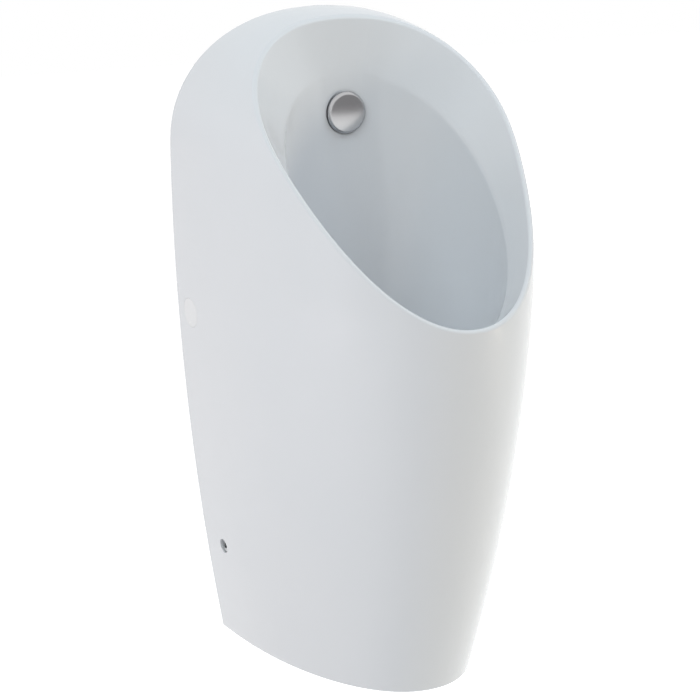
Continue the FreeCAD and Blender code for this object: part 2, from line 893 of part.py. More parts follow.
for name in (
    "spray_body", "spray_cap", "spray_distributor", "spray_gasket", "spray_rear_washer",
    "spray_steel_washer", "inlet_coupling", "inlet_o_ring", "inlet_filter", "flow_regulator",
):
    put(doc.getObject(name), zero, zero, b.spray_height, OUTWARD)
put(lock_nut, zero, zero - nut_front + b.lock_nut_height, b.spray_height, OUTWARD)


# Drain, trap and outlet

drain_seat = b.drain_height
flange_foot = drain_seat + b.seal
flange_top = flange_foot + b.flange_thick
thread_r = b.thread_dia / 2
insert_r = b.insert_dia / 2
dip_r = b.dip_dia / 2
dip_bore = dip_r - b.dip_wall
ledge = drain_seat - b.ledge_drop
insert_foot = ledge + b.seal
insert_top = insert_foot + b.collar
flange_tail_foot = flange_foot - b.flange_tail
flange_r = b.flange_dia / 2
turned("drain_flange", [
    (dip_r + b.loose * 2, flange_tail_foot),
    (thread_r, flange_tail_foot),
    (thread_r, flange_foot),
    (flange_r, flange_foot),
    (flange_r, flange_top - b.flange_thick / 2),
    (flange_r - b.flange_thick / 2, flange_top),
    (insert_r + b.loose + b.flange_thick / 2, flange_top),
    (insert_r + b.loose, flange_top - b.flange_thick / 2),
    (insert_r + b.loose, ledge),
    (dip_r + b.loose * 2, ledge),
])
turned("drain_flange_seal", [
    (thread_r + b.loose, drain_seat),
    (flange_r, drain_seat),
    (flange_r, flange_foot),
    (thread_r + b.loose, flange_foot),
])
turned("trap_insert", [
    (dip_bore, b.dip_foot_height),
    (dip_r, b.dip_foot_height),
    (dip_r, insert_foot),
    (insert_r, insert_foot),
    (insert_r, insert_top),
    (dip_bore, insert_top),
])
turned("trap_insert_seal", [
    (dip_r + b.slip, ledge),
    (insert_r, ledge),
    (insert_r, insert_foot),
    (dip_r + b.slip, insert_foot),
])
knob_r = b.strainer_knob_dia / 2
strainer_top = insert_top + b.strainer
strainer = turned("strainer", [
    (zero, insert_top),
    (dip_bore - b.strainer, insert_top),
    (dip_bore - b.strainer, insert_foot),
    (dip_bore - b.slip, insert_foot),
    (dip_bore - b.slip, insert_top),
    (insert_r - b.slip, insert_top),
    (insert_r - b.slip, strainer_top - b.strainer / 2),
    (insert_r - b.slip - b.strainer / 2, strainer_top),
    (knob_r, strainer_top),
    (knob_r - b.strainer / 2, strainer_top + b.strainer_knob / 2),
    (knob_r, strainer_top + b.strainer_knob),
    (zero, strainer_top + b.strainer_knob),
])
radial_slots(
    strainer,
    knob_r + b.strainer / 2,
    dip_bore - b.strainer * 2,
    b.strainer_slot,
    insert_top,
    strainer_top,
    b.strainer_slots,
)

under_seat = drain_seat - b.wall
collar_top = under_seat - b.seal
collar_r = b.collar_dia / 2
chamber_r = b.chamber_dia / 2
chamber_in = chamber_r - b.plastic
neck_foot = collar_top - b.neck
turned("trap_top_seal", [
    (thread_r + b.loose, collar_top),
    (collar_r, collar_top),
    (collar_r, under_seat),
    (thread_r + b.loose, under_seat),
])
chamber = turned("trap_chamber", [
    (thread_r + b.slip, flange_tail_foot),
    (thread_r + b.slip, collar_top),
    (collar_r, collar_top),
    (collar_r, neck_foot),
    (chamber_r, neck_foot - (chamber_r - collar_r)),
    (chamber_r, b.chamber_foot),
    (chamber_in, b.chamber_foot),
    (chamber_in, flange_tail_foot - b.plastic),
    (chamber_in - b.plastic, flange_tail_foot),
])
put(chamber, zero, zero - b.drain_out, zero, UPRIGHT)

# The outlet stub leaves the chamber towards the wall and is bored from its mouth
pipe_r = b.outlet_pipe_dia / 2 - b.slip
pipe_bore = pipe_r - b.outlet_pipe_wall
stub_length = b.drain_out - b.outlet_stub_out
stub = cylinder("outlet_stub", b.outlet_stub_dia, stub_length)
put(stub, zero, zero - b.outlet_stub_out, b.outlet_height, OUTWARD)
with_stub = joined("chamber_with_stub", "Fuse", chamber, stub)
room = cylinder("chamber_room", chamber_in * 2, flange_tail_foot - b.plastic - b.chamber_foot)
put(room, zero, zero - b.drain_out, b.chamber_foot, UPRIGHT)
emptied = joined("chamber_emptied", "Cut", with_stub, room)
socket = cylinder("outlet_socket", (pipe_r + b.slip * 2) * 2, b.outlet_socket)
put(socket, zero, zero - b.outlet_stub_out, b.outlet_height, OUTWARD)
socketed = joined("chamber_socketed", "Cut", emptied, socket)
passage = cylinder("outlet_passage", pipe_bore * 2, stub_length)
put(passage, zero, zero - b.outlet_stub_out, b.outlet_height, OUTWARD)
joined("trap_body", "Cut", socketed, passage)

cup_r = b.cup_dia / 2
cup_ledge = b.chamber_foot - b.seal
cup_lip = b.chamber_foot + b.cup_thread
cup_slope = cup_r - chamber_in
trap_cup = turned("trap_cup", [
    (zero, b.cup_foot),
    (chamber_in, b.cup_foot),
    (cup_r, b.cup_foot + cup_slope),
    (cup_r, cup_lip),
    (chamber_r + b.slip, cup_lip),
    (chamber_r + b.slip, cup_ledge),
    (chamber_in, cup_ledge),
    (chamber_in, b.cup_foot + cup_slope),
    (chamber_in - b.plastic, b.cup_foot + b.plastic),
    (zero, b.cup_foot + b.plastic),
])
radial_slots(
    trap_cup, cup_r - b.cup_grip, cup_r + b.cup_grip, b.grip_width, b.cup_foot, cup_lip, b.cup_grips
)
turned("trap_cup_seal", [
    (chamber_in, cup_ledge),
    (chamber_r - b.slip, cup_ledge),
    (chamber_r - b.slip, b.chamber_foot),
    (chamber_in, b.chamber_foot),
])
for name in (
    "drain_flange", "drain_flange_seal", "trap_insert", "trap_insert_seal", "strainer",
    "trap_top_seal", "trap_cup", "trap_cup_seal",
):
    put(doc.getObject(name), zero, zero - b.drain_out, zero, UPRIGHT)

stub_r = b.outlet_stub_dia / 2
cone_back = b.outlet_stub_out - b.cone_seal
nut_back = cone_back - b.union_nut_lip
cuff_stop_back = b.wall_gap + b.cuff_mouth
cuff_stop_front = cuff_stop_back + b.cuff_stop
cuff_r = b.outlet_pipe_dia / 2
turned("outlet_pipe", [
    (pipe_bore, cuff_stop_front),
    (pipe_r, cuff_stop_front),
    (pipe_r, b.outlet_stub_out + b.outlet_socket - b.loose),
    (pipe_bore, b.outlet_stub_out + b.outlet_socket - b.loose),
])
turned("outlet_cone_seal", [
    (pipe_r + b.slip, cone_back),
    (stub_r - b.loose, cone_back),
    (stub_r - b.loose, cone_back + b.cone_seal / 2),
    (stub_r - b.cone_seal / 2, b.outlet_stub_out),
    (pipe_r + b.slip, b.outlet_stub_out),
])
union_nut = turned("outlet_union_nut", [
    (pipe_r + b.loose, nut_back),
    (b.union_nut_dia / 2 - b.seal, nut_back),
    (b.union_nut_dia / 2, nut_back + b.seal),
    (b.union_nut_dia / 2, nut_back + b.union_nut_length),
    (stub_r + b.slip, nut_back + b.union_nut_length),
    (stub_r + b.slip, cone_back),
    (pipe_r + b.loose, cone_back),
])
radial_slots(
    union_nut,
    b.union_nut_dia / 2 - b.grip_depth,
    b.union_nut_dia / 2 + b.grip_depth,
    b.grip_width,
    nut_back,
    nut_back + b.union_nut_length,
    b.grip_count,
)
turned("outlet_cuff", [
    (cuff_r, b.wall_gap),
    (cuff_r + b.cuff_wall, b.wall_gap),
    (cuff_r + b.cuff_wall, b.wall_gap + b.cuff_length),
    (cuff_r, b.wall_gap + b.cuff_length),
    (cuff_r, cuff_stop_front),
    (pipe_bore, cuff_stop_front),
    (pipe_bore, cuff_stop_back),
    (cuff_r, cuff_stop_back),
])
for name in ("outlet_pipe", "outlet_cone_seal", "outlet_union_nut", "outlet_cuff"):
    put(doc.getObject(name), zero, zero, b.outlet_height, OUTWARD)


# Side fixings, heights measured out from the middle plane

def bent(body, base, across, up, radius, name):
    """Round the upright edge of a bent plate that stands at a given point."""
    doc.recompute()
    spot = FreeCAD.Vector(sized(across).value, sized(up).value, 0)
    names = []
    for index, edge in enumerate(base.Shape.Edges):
        ends = [vertex.Point for vertex in edge.Vertexes]
        if all(math.hypot(end.x - spot.x, end.y - spot.y) < 1e-4 for end in ends):
            names.append("Edge" + str(index + 1))
    fillet = body.newObject("PartDesign::Fillet", body.Name + "_" + name)
    fillet.Base = (base, names)
    fillet.setExpression("Radius", radius.text)
    body.Tip = fillet
    return fillet


def angle_bracket(label, seat_x, fix_out):
    """Steel angle: a plate on the wall and a leg along the inside of the ceramic."""
    leg_face = seat_x - b.bush_flange
    leg_back = leg_face - b.steel
    plate_end = b.bolt_spacing / 2 - b.bracket_edge
    body = doc.addObject("PartDesign::Body", label)
    body.Label = label
    sketch = outline(body, "XY_Plane", [
        (plate_end, zero),
        (leg_face, zero),
        (leg_face, fix_out + b.bracket_tail),
        (leg_back, fix_out + b.bracket_tail),
        (leg_back, b.steel),
        (plate_end, b.steel),
    ])
    pad = body.newObject("PartDesign::Pad", label + "_pad")
    pad.Profile = sketch
    pad.setExpression("Length", b.bracket_height.text)
    pad.Midplane = True
    sketch.Visibility = False
    bent(body, pad, leg_face, zero, b.bend + b.steel, "outer_bend")
    bent(body, body.Tip, leg_back, b.steel, b.bend, "inner_bend")
    round_hole(body, "YZ_Plane", fix_out, zero, b.screw_dia + b.slip * 2, "screw_hole")
    round_hole(body, "XZ_Plane", b.bolt_spacing / 2, zero, b.bolt_hole_dia, "bolt_hole")
    return body


def bush(label, seat_x, hole):
    """Plastic bush between bracket and ceramic, its pilot in the ceramic's hole."""
    bore = b.screw_dia / 2 + b.slip * 2
    pilot = hole / 2 - b.slip * 2
    lip = hole / 2 + b.bush_lip
    return turned(label, [
        (bore, seat_x - b.bush_flange),
        (lip, seat_x - b.bush_flange),
        (lip, seat_x),
        (pilot, seat_x),
        (pilot, seat_x + b.bush_pilot),
        (bore, seat_x + b.bush_pilot),
    ])


def side_screw(label, seat_x):
    """Cap screw with a six-sided socket."""
    under_head = seat_x + b.bush_pilot
    top = under_head + b.screw_head
    head_r = b.screw_head_dia / 2
    shank_r = b.screw_dia / 2
    blank = turned(label + "_blank", [
        (zero, under_head - b.screw_length),
        (shank_r - b.loose, under_head - b.screw_length),
        (shank_r, under_head - b.screw_length + b.loose),
        (shank_r, under_head),
        (head_r, under_head),
        (head_r, top - b.loose),
        (head_r - b.loose, top),
        (zero, top),
    ])
    key = prism(label + "_key", b.socket_flats, b.screw_head)
    set_on(key, zero, zero, top - b.screw_head * 0.6, UPRIGHT)
    return joined(label, "Cut", blank, key)


def weld_nut(label):
    block = prism(label + "_block", b.nut_flats, b.nut_height)
    bore = cylinder(label + "_bore", b.screw_dia + b.slip * 2, b.nut_height)
    return joined(label, "Cut", block, bore)


def cover_plug(side):
    """Flush plug over an upper hole: its face is the egg's own skin, its skirt grips the hole."""
    y = -given("upper_fix_out")
    z = given("upper_fix_height")
    foot = given("upper_seat") + given("bush_pilot") + 2 * given("slip")
    roof = foot + given("screw_head")
    far = given("full_width")
    dia = given("upper_hole_dia") - 2 * given("plug_gap")
    start = FreeCAD.Vector(side * foot, y, z)
    plug = rod(dia, start, FreeCAD.Vector(side * far, y, z)).common(EGG)
    room = rod(dia - 2 * given("plug_skirt"), start, FreeCAD.Vector(side * roof, y, z))
    return plug.cut(room).Solids[0]


nuts = []
FRONT_RIGHT = FreeCAD.Rotation(FreeCAD.Vector(1, 0, 0), 180)
FRONT_LEFT = FreeCAD.Rotation(FreeCAD.Vector(0, 0, 1), 180)
for word, side, turn, flip in (("left", -1, LEFTWARD, FRONT_LEFT), ("right", 1, RIGHTWARD, FRONT_RIGHT)):
    for level in ("lower", "upper"):
        seat_x = getattr(b, level + "_seat")
        fix_out = getattr(b, level + "_fix_out")
        fix_height = getattr(b, level + "_fix_height")
        hole = getattr(b, level + "_hole_dia")
        stem = word + "_" + level
        put(angle_bracket(stem + "_bracket", seat_x, fix_out), zero, zero, fix_height, flip)
        put(bush(stem + "_bush", seat_x, hole), zero, zero - fix_out, fix_height, turn)
        put(side_screw(stem + "_screw", seat_x), zero, zero - fix_out, fix_height, turn)
        nut = weld_nut(stem + "_nut")
        nut_x = seat_x - b.bush_flange - b.steel - b.nut_height
        put(nut, nut_x * side, zero - fix_out, fix_height, turn)
        nuts.append(nut)
    plain_part(word + "_cover_plug", cover_plug(side))
bracket_nuts = doc.addObject("Part::Compound", "bracket_nuts")
bracket_nuts.Label = "bracket_nuts"
bracket_nuts.Links = nuts


# Check and write each piece

PIECES = [
    "ceramic_body",
    "spray_body", "spray_cap", "spray_distributor", "spray_gasket", "spray_rear_washer",
    "spray_steel_washer", "spray_lock_nut",
    "inlet_coupling", "inlet_o_ring", "inlet_filter", "flow_regulator",
    "drain_flange", "drain_flange_seal", "strainer", "trap_insert", "trap_insert_seal",
    "trap_body", "trap_top_seal", "trap_cup", "trap_cup_seal",
    "outlet_pipe", "outlet_union_nut", "outlet_cone_seal", "outlet_cuff",
    "left_lower_bracket", "left_upper_bracket", "right_lower_bracket", "right_upper_bracket",
    "left_lower_bush", "left_upper_bush", "right_lower_bush", "right_upper_bush",
    "left_lower_screw", "left_upper_screw", "right_lower_screw", "right_upper_screw",
    "left_cover_plug", "right_cover_plug",
    "bracket_nuts",
]

doc.recompute()
for item in doc.Objects:
    faults = {"Invalid", "Error"} & set(item.State)
    if faults:
        raise RuntimeError(item.Label + " is " + ", ".join(sorted(faults)))
os.makedirs("parts", exist_ok=True)
for name in PIECES:
    shape = doc.getObject(name).Shape
    if shape.isNull() or not shape.isValid() or not shape.Solids:
        raise RuntimeError(name + " has no sound solid")
    shape.exportStep("parts/" + name + ".step")
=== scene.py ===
"""Studio model of a wall-hung urinal: glazed ceramic, chrome spray head, trap and side fixings."""

import math

import bmesh
import bpy
from bpy.props import FloatProperty, FloatVectorProperty, PointerProperty
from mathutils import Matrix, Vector


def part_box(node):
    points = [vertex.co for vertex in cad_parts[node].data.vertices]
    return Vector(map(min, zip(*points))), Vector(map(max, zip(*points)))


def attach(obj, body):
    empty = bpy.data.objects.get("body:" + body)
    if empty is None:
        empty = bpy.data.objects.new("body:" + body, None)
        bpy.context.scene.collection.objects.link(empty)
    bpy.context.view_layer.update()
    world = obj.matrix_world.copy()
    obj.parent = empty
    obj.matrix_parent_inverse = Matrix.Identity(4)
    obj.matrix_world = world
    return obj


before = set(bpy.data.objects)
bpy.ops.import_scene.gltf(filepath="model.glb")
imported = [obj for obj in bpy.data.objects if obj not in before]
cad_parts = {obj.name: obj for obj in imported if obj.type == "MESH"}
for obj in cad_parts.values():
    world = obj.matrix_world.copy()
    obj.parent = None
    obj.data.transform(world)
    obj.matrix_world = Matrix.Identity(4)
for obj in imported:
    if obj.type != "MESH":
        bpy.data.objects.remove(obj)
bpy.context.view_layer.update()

bl_info = {
    "name": "Wall-hung urinal",
    "version": (1, 0, 0),
    "blender": (4, 5, 0),
    "location": "3D View > Sidebar > Urinal",
    "description": "Dresses the urinal's ceramic, spray head, trap and fixings, and sets its studio",
    "category": "Object",
}

# Side holes, each with a bracket, a bush and a screw
SIDES = ("left_lower", "left_upper", "right_lower", "right_upper")

# Steps in one turn of a screw thread, and half the width of its foot as a share of the pitch
THREAD_STEPS = 20
THREAD_FOOT = 0.42

# Places on the stage, in metres from the middle of the wall bolts
EYE = (-0.9935, -1.9673, 0.6409)
EYE_AIM = (-0.0412, -0.15, 0.0996)
BOWL_AIM = (0.0, -0.16, 0.1)
SIDE_AIM = (0.0, -0.16, -0.02)
FOOT_AIM = (0.0, -0.16, -0.15)
FLOOR_HALF = 6.0
CARD_LEFT = (-0.15, -1.6)
CARD_RIGHT = (1.35, -1.05)
CARD_LOW = 0.095
CARD_HIGH = 0.75

WHITE = (1.0, 1.0, 1.0, 1.0)


def colour(name, words, default):
    """A colour setting."""
    return FloatVectorProperty(
        name=name, description=words, default=default, size=4, min=0.0, max=1.0, subtype="COLOR"
    )


def share(name, words, default):
    """A setting from nothing to full."""
    return FloatProperty(name=name, description=words, default=default, min=0.0, max=1.0, subtype="FACTOR")


def length(name, words, default):
    """A length in metres."""
    return FloatProperty(name=name, description=words, default=default, unit="LENGTH", precision=4)


def power(name, words, default):
    """A lamp's power in watts."""
    return FloatProperty(name=name, description=words, default=default, unit="POWER")


class UrinalGlaze(bpy.types.PropertyGroup):
    """Finish of the ceramic."""

    white: colour("White", "Colour of the fired glaze", (0.735, 0.75, 0.772, 1.0))
    pooled: colour("Pooled", "Colour where the glaze lies thick", (0.715, 0.735, 0.76, 1.0))
    gloss: share("Roughness", "Roughness of the clean glaze", 0.16)
    ripple: length("Ripple", "Depth of the glaze's slow ripple", 0.0003)


class UrinalMetals(bpy.types.PropertyGroup):
    """Finishes of the metal pieces."""

    chrome: colour("Chrome", "Plated spray cap", (0.51, 0.51, 0.52, 1.0))
    cap_edge: length("Cap edge", "Rounding of the light along the spray cap's edge", 0.0015)
    cap_middle: length("Cap middle", "Reach of the plain facets at the middle of the cap's face", 0.0045)
    brass: colour("Brass", "Turned brass of the spray head and coupling", (0.60, 0.42, 0.17, 1.0))
    steel: colour("Steel", "Brackets, screws, nuts and strainer", (0.45, 0.46, 0.47, 1.0))


class UrinalPlastics(bpy.types.PropertyGroup):
    """Finishes of the plastic and rubber pieces."""

    cover: colour("Cover", "Plugs and drain flange", (0.765, 0.77, 0.78, 1.0))
    pipe: colour("Pipe", "Trap, insert and outlet pipe", (0.62, 0.62, 0.59, 1.0))
    bush: colour("Bush", "Bushes and water parts", (0.55, 0.56, 0.57, 1.0))
    rubber: colour("Rubber", "Seals and outlet cuff", (0.018, 0.018, 0.019, 1.0))


class UrinalThreads(bpy.types.PropertyGroup):
    """Threads on the ends of the side screws."""

    shank: length("Shank", "Radius of a side screw's shank", 0.004)
    pitch: length("Pitch", "Rise of the thread in one turn", 0.00125)
    crest: length("Crest", "Height of the thread above the shank", 0.0003)
    sunk: length("Sunk", "Depth of the thread's foot in the shank", 0.0001)
    run_out: length("Run-out", "Plain length at the tip", 0.0009)
    threaded: length("Threaded", "Length of the thread", 0.0123)


class UrinalStage(bpy.types.PropertyGroup):
    """Camera, lamps and floor."""

    lens: FloatProperty(name="Lens", description="Focal length", default=111.39, unit="CAMERA")
    floor_drop: length("Floor drop", "Floor below the wall bolts' middle", 0.467)
    key_power: power("Key", "Wide lamp at the upper left", 22.2)
    high_power: power("High", "Lamp at the upper right", 15.0)
    fill_power: power("Fill", "Low lamp at the front right", 12.5)
    side_power: power("Side", "Lamp beside the left side", 8.6)
    sky: FloatProperty(name="Room light", description="Strength of the light all round", default=0.435)
    sky_tone: colour("Room tone", "Colour of the light all round", (1.0, 0.97, 0.94, 1.0))
    floor_matt: colour("Floor", "Colour of the floor", (0.92, 0.92, 0.92, 1.0))
    floor_glow: share("Floor glow", "Light added to the floor where it is seen", 0.72)
    card: colour("Card", "Grey card that the chrome mirrors", (0.33, 0.325, 0.33, 1.0))


class UrinalSettings(bpy.types.PropertyGroup):
    """All settings of the urinal."""

    glaze: PointerProperty(type=UrinalGlaze)
    metals: PointerProperty(type=UrinalMetals)
    plastics: PointerProperty(type=UrinalPlastics)
    threads: PointerProperty(type=UrinalThreads)
    stage: PointerProperty(type=UrinalStage)


def settings():
    """Settings of this scene's urinal."""
    return bpy.context.scene.urinal


def add_object(name, data):
    """New object in the scene."""
    item = bpy.data.objects.new(name, data)
    bpy.context.scene.collection.objects.link(item)
    return item


def point(item, place, aim):
    """Put a lamp or camera at a place and turn it to its aim."""
    item.location = place
    item.rotation_euler = (Vector(aim) - Vector(place)).to_track_quat("-Z", "Y").to_euler()


class Graph:
    """Short calls for building a node tree."""

    def __init__(self, tree):
        self.tree = tree

    def add(self, kind, **values):
        """New node with some of its choices set."""
        node = self.tree.nodes.new(kind)
        for key, value in values.items():
            setattr(node, key, value)
        return node

    def link(self, start, end):
        self.tree.links.new(start, end)

    def feed(self, socket, value):
        """Set a socket to a number, or link another socket to it."""
        if isinstance(value, (int, float)):
            socket.default_value = value
        else:
            self.link(value, socket)

    def noise(self, where, scale, detail=3.0, rough=0.5):
        """Soft noise over a place, the finer the larger its scale."""
        node = self.add("ShaderNodeTexNoise")
        node.inputs["Detail"].default_value = detail
        node.inputs["Roughness"].default_value = rough
        self.link(where, node.inputs["Vector"])
        self.feed(node.inputs["Scale"], scale)
        return node.outputs["Fac"]

    def spread(self, value, low, high, to_low=0.0, to_high=1.0):
        """A soft step from to_low to to_high while the value goes from low to high."""
        node = self.add("ShaderNodeMapRange", interpolation_type="SMOOTHSTEP")
        for key, number in zip(("From Min", "From Max", "To Min", "To Max"), (low, high, to_low, to_high)):
            self.feed(node.inputs[key], number)
        self.link(value, node.inputs["Value"])
        return node.outputs["Result"]

    def mix(self, kind, by, first, second):
        """First where by is nothing, second where it is full."""
        node = self.add("ShaderNodeMix", data_type=kind)
        self.link(by, node.inputs["Factor"])
        self.link(first, node.inputs["A"])
        self.link(second, node.inputs["B"])
        return node.outputs["Result"]

    def math(self, kind, first, second):
        """Sum, product or test of two values."""
        node = self.add("ShaderNodeMath", operation=kind)
        for socket, value in zip(node.inputs, (first, second)):
            self.feed(socket, value)
        return node.outputs["Value"]

    def object_place(self):
        """Where a point lies on its own piece, so that a finish moves with the piece."""
        return self.add("ShaderNodeTexCoord").outputs["Object"]


def bare_graph(owner):
    """Graph of the emptied node tree of a material or a world."""
    owner.use_nodes = True
    owner.node_tree.nodes.clear()
    return Graph(owner.node_tree)


# Shader groups shared by the finishes

FINISH_OUT = (
    ("Color", "NodeSocketColor"),
    ("Roughness", "NodeSocketFloat"),
    ("Height", "NodeSocketFloat"),
)


def new_group(name, inputs):
    """Empty node group with named inputs and a finish's outputs, and the nodes at its two ends."""
    tree = bpy.data.node_groups.new(name, "ShaderNodeTree")
    for label, kind, default in inputs:
        socket = tree.interface.new_socket(name=label, in_out="INPUT", socket_type=kind)
        socket.default_value = default
    for label, kind in FINISH_OUT:
        tree.interface.new_socket(name=label, in_out="OUTPUT", socket_type=kind)
    graph = Graph(tree)
    return graph, graph.add("NodeGroupInput").outputs, graph.add("NodeGroupOutput").inputs


def fired_glaze(name):
    """Fired glaze: slow tone drift, thin and thick patches, a ripple and a few pin marks."""
    graph, start, end = new_group(name, (
        ("Base", "NodeSocketColor", (0.8, 0.8, 0.8, 1.0)),
        ("Pooled", "NodeSocketColor", (0.7, 0.7, 0.7, 1.0)),
        ("Gloss", "NodeSocketFloat", 0.15),
    ))
    place = graph.object_place()
    drift = graph.spread(graph.noise(place, 5.0, detail=2.0), 0.35, 0.7, to_high=0.55)
    tint = graph.mix("RGBA", drift, start["Base"], start["Pooled"])
    cells = graph.add("ShaderNodeTexVoronoi", feature="F1")
    cells.inputs["Scale"].default_value = 160.0
    graph.link(place, cells.inputs["Vector"])
    picked = graph.spread(cells.outputs["Color"], 0.955, 0.97)
    spot = graph.spread(cells.outputs["Distance"], 0.03, 0.08, to_low=1.0, to_high=0.0)
    pins = graph.math("MULTIPLY", graph.math("MULTIPLY", picked, spot), 0.25)
    graph.link(graph.mix("RGBA", pins, tint, start["Pooled"]), end["Color"])
    haze = graph.spread(graph.noise(place, 14.0, detail=4.0), 0.3, 0.75, to_low=-0.03, to_high=0.05)
    graph.link(graph.math("ADD", start["Gloss"], haze), end["Roughness"])
    slow = graph.noise(place, 22.0, detail=1.0)
    fine = graph.math("MULTIPLY", graph.noise(place, 260.0, detail=2.0), 0.05)
    graph.link(graph.math("ADD", slow, fine), end["Height"])
    return graph.tree


def moulded_surface(name):
    """Moulded or cast surface: fine grain, handling marks and uneven sheen."""
    graph, start, end = new_group(name, (
        ("Base", "NodeSocketColor", (0.5, 0.5, 0.5, 1.0)),
        ("Marked", "NodeSocketColor", (0.4, 0.4, 0.4, 1.0)),
        ("Sheen", "NodeSocketFloat", 0.4),
        ("Grain", "NodeSocketFloat", 900.0),
    ))
    place = graph.object_place()
    marks = graph.spread(graph.noise(place, 38.0, detail=5.0, rough=0.62), 0.45, 0.78)
    graph.link(graph.mix("RGBA", marks, start["Base"], start["Marked"]), end["Color"])
    uneven = graph.spread(graph.noise(place, 70.0), 0.3, 0.7, to_low=-0.06, to_high=0.08)
    graph.link(graph.math("ADD", start["Sheen"], uneven), end["Roughness"])
    graph.link(graph.noise(place, start["Grain"], detail=2.0), end["Height"])
    return graph.tree


def drawn_metal(name):
    """Drawn or brushed metal: streaks along one direction over a slow stain."""
    graph, start, end = new_group(name, (
        ("Base", "NodeSocketColor", (0.5, 0.5, 0.5, 1.0)),
        ("Stain", "NodeSocketColor", (0.3, 0.3, 0.3, 1.0)),
        ("Polish", "NodeSocketFloat", 0.3),
        ("Stretch", "NodeSocketVector", (1.0, 1.0, 1.0)),
    ))
    place = graph.object_place()
    drawn_out = graph.add("ShaderNodeVectorMath", operation="MULTIPLY")
    graph.link(place, drawn_out.inputs[0])
    graph.link(start["Stretch"], drawn_out.inputs[1])
    streak = graph.noise(drawn_out.outputs["Vector"], 1.0, detail=4.0, rough=0.65)
    stain = graph.spread(graph.noise(place, 30.0, detail=4.0), 0.45, 0.8, to_high=0.7)
    graph.link(graph.mix("RGBA", stain, start["Base"], start["Stain"]), end["Color"])
    uneven = graph.spread(streak, 0.25, 0.75, to_low=-0.08, to_high=0.12)
    graph.link(graph.math("ADD", start["Polish"], uneven), end["Roughness"])
    graph.link(streak, end["Height"])
    return graph.tree


# Finishes

def made(store, maker):
    """A material or group of the maker's name, made the first time it is asked for."""
    return store.get(maker.__name__) or maker(maker.__name__)


def finish(name, effect, values, bump, metal=0.0, coat=0.0, normals=None):
    """Material from a shared group: colour, roughness and relief vary, the rest is set on the shader."""
    material = bpy.data.materials.new(name)
    material.diffuse_color = values["Base"]
    graph = bare_graph(material)
    surface = graph.add("ShaderNodeGroup", node_tree=made(bpy.data.node_groups, effect))
    for key, value in values.items():
        surface.inputs[key].default_value = value
    shader = graph.add("ShaderNodeBsdfPrincipled")
    shader.inputs["Metallic"].default_value = metal
    shader.inputs["Coat Weight"].default_value = coat
    shader.inputs["Coat Roughness"].default_value = 0.06
    relief = graph.add("ShaderNodeBump")
    relief.inputs["Distance"].default_value = bump
    relief.inputs["Strength"].default_value = 1.0
    graph.link(surface.outputs["Color"], shader.inputs["Base Color"])
    graph.link(surface.outputs["Roughness"], shader.inputs["Roughness"])
    graph.link(surface.outputs["Height"], relief.inputs["Height"])
    graph.link(relief.outputs["Normal"], shader.inputs["Normal"])
    if normals:
        graph.link(normals(graph), relief.inputs["Normal"])
    out = graph.add("ShaderNodeOutputMaterial")
    graph.link(shader.outputs["BSDF"], out.inputs["Surface"])
    return material


def toned(tone, by):
    """The tone made darker, or lighter where by is more than one."""
    return (tone[0] * by, tone[1] * by, tone[2] * by, 1.0)


def moulded(name, tone, sheen, grain, bump, coat=0.0, mark=0.86):
    """Plastic or rubber, with marks in a tone of its own colour."""
    values = {"Base": tone, "Marked": toned(tone, mark), "Sheen": sheen, "Grain": grain}
    return finish(name, moulded_surface, values, bump, coat=coat)


def drawn(name, tone, polish, stretch, bump, stain=0.75, normals=None):
    """Metal, with stains in a tone of its own colour."""
    values = {"Base": tone, "Stain": toned(tone, stain), "Polish": polish, "Stretch": stretch}
    return finish(name, drawn_metal, values, bump, metal=1.0, normals=normals)


def white_glaze(name):
    """Glaze of the ceramic body."""
    look = settings().glaze
    values = {"Base": look.white, "Pooled": look.pooled, "Gloss": look.gloss}
    return finish(name, fired_glaze, values, look.ripple)


def cap_normals(graph):
    """Normals of the spray cap: a soft edge, and no pinch where triangles meet at the middle of its face."""
    metals = settings().metals
    low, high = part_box("spray_cap")
    face = Vector(((low.x + high.x) / 2, low.y, (low.z + high.z) / 2))
    edge = graph.add("ShaderNodeBevel", samples=8)
    edge.inputs["Radius"].default_value = metals.cap_edge
    away = graph.add("ShaderNodeVectorMath", operation="DISTANCE")
    graph.link(graph.object_place(), away.inputs[0])
    away.inputs[1].default_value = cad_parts["spray_cap"].matrix_world.inverted() @ face
    middle = graph.math("LESS_THAN", away.outputs["Value"], metals.cap_middle)
    facet = graph.add("ShaderNodeNewGeometry").outputs["True Normal"]
    return graph.mix("VECTOR", middle, edge.outputs["Normal"], facet)


def polished_chrome(name):
    """Plating of the spray cap."""
    tone = settings().metals.chrome
    return drawn(name, tone, 0.22, stretch=(3.0, 3.0, 3.0), bump=0.0, stain=0.95, normals=cap_normals)


def turned_brass(name):
    """Brass of the spray head, with turning lines round its axis."""
    return drawn(name, settings().metals.brass, 0.28, stretch=(90.0, 2600.0, 90.0), bump=0.00003)


def drawn_steel(name):
    """Steel of the brackets, screws, nuts, washer and strainer."""
    return drawn(name, settings().metals.steel, 0.34, stretch=(120.0, 120.0, 2600.0), bump=0.00003)


def cover_plastic(name):
    """Glossy white plastic of the cover plugs and the drain flange."""
    return moulded(name, settings().plastics.cover, 0.2, grain=1400.0, bump=0.00002, coat=0.3, mark=0.97)


def pipe_plastic(name):
    """Plastic of the trap and the outlet."""
    return moulded(name, settings().plastics.pipe, 0.38, grain=1100.0, bump=0.00004, mark=0.9)


def bush_plastic(name):
    """Grey plastic of the bushes and the water parts."""
    return moulded(name, settings().plastics.bush, 0.42, grain=1300.0, bump=0.00004)


def seal_rubber(name):
    """Rubber of the seals and the outlet cuff, with paler marks."""
    return moulded(name, settings().plastics.rubber, 0.62, grain=1500.0, bump=0.00005, mark=1.5)


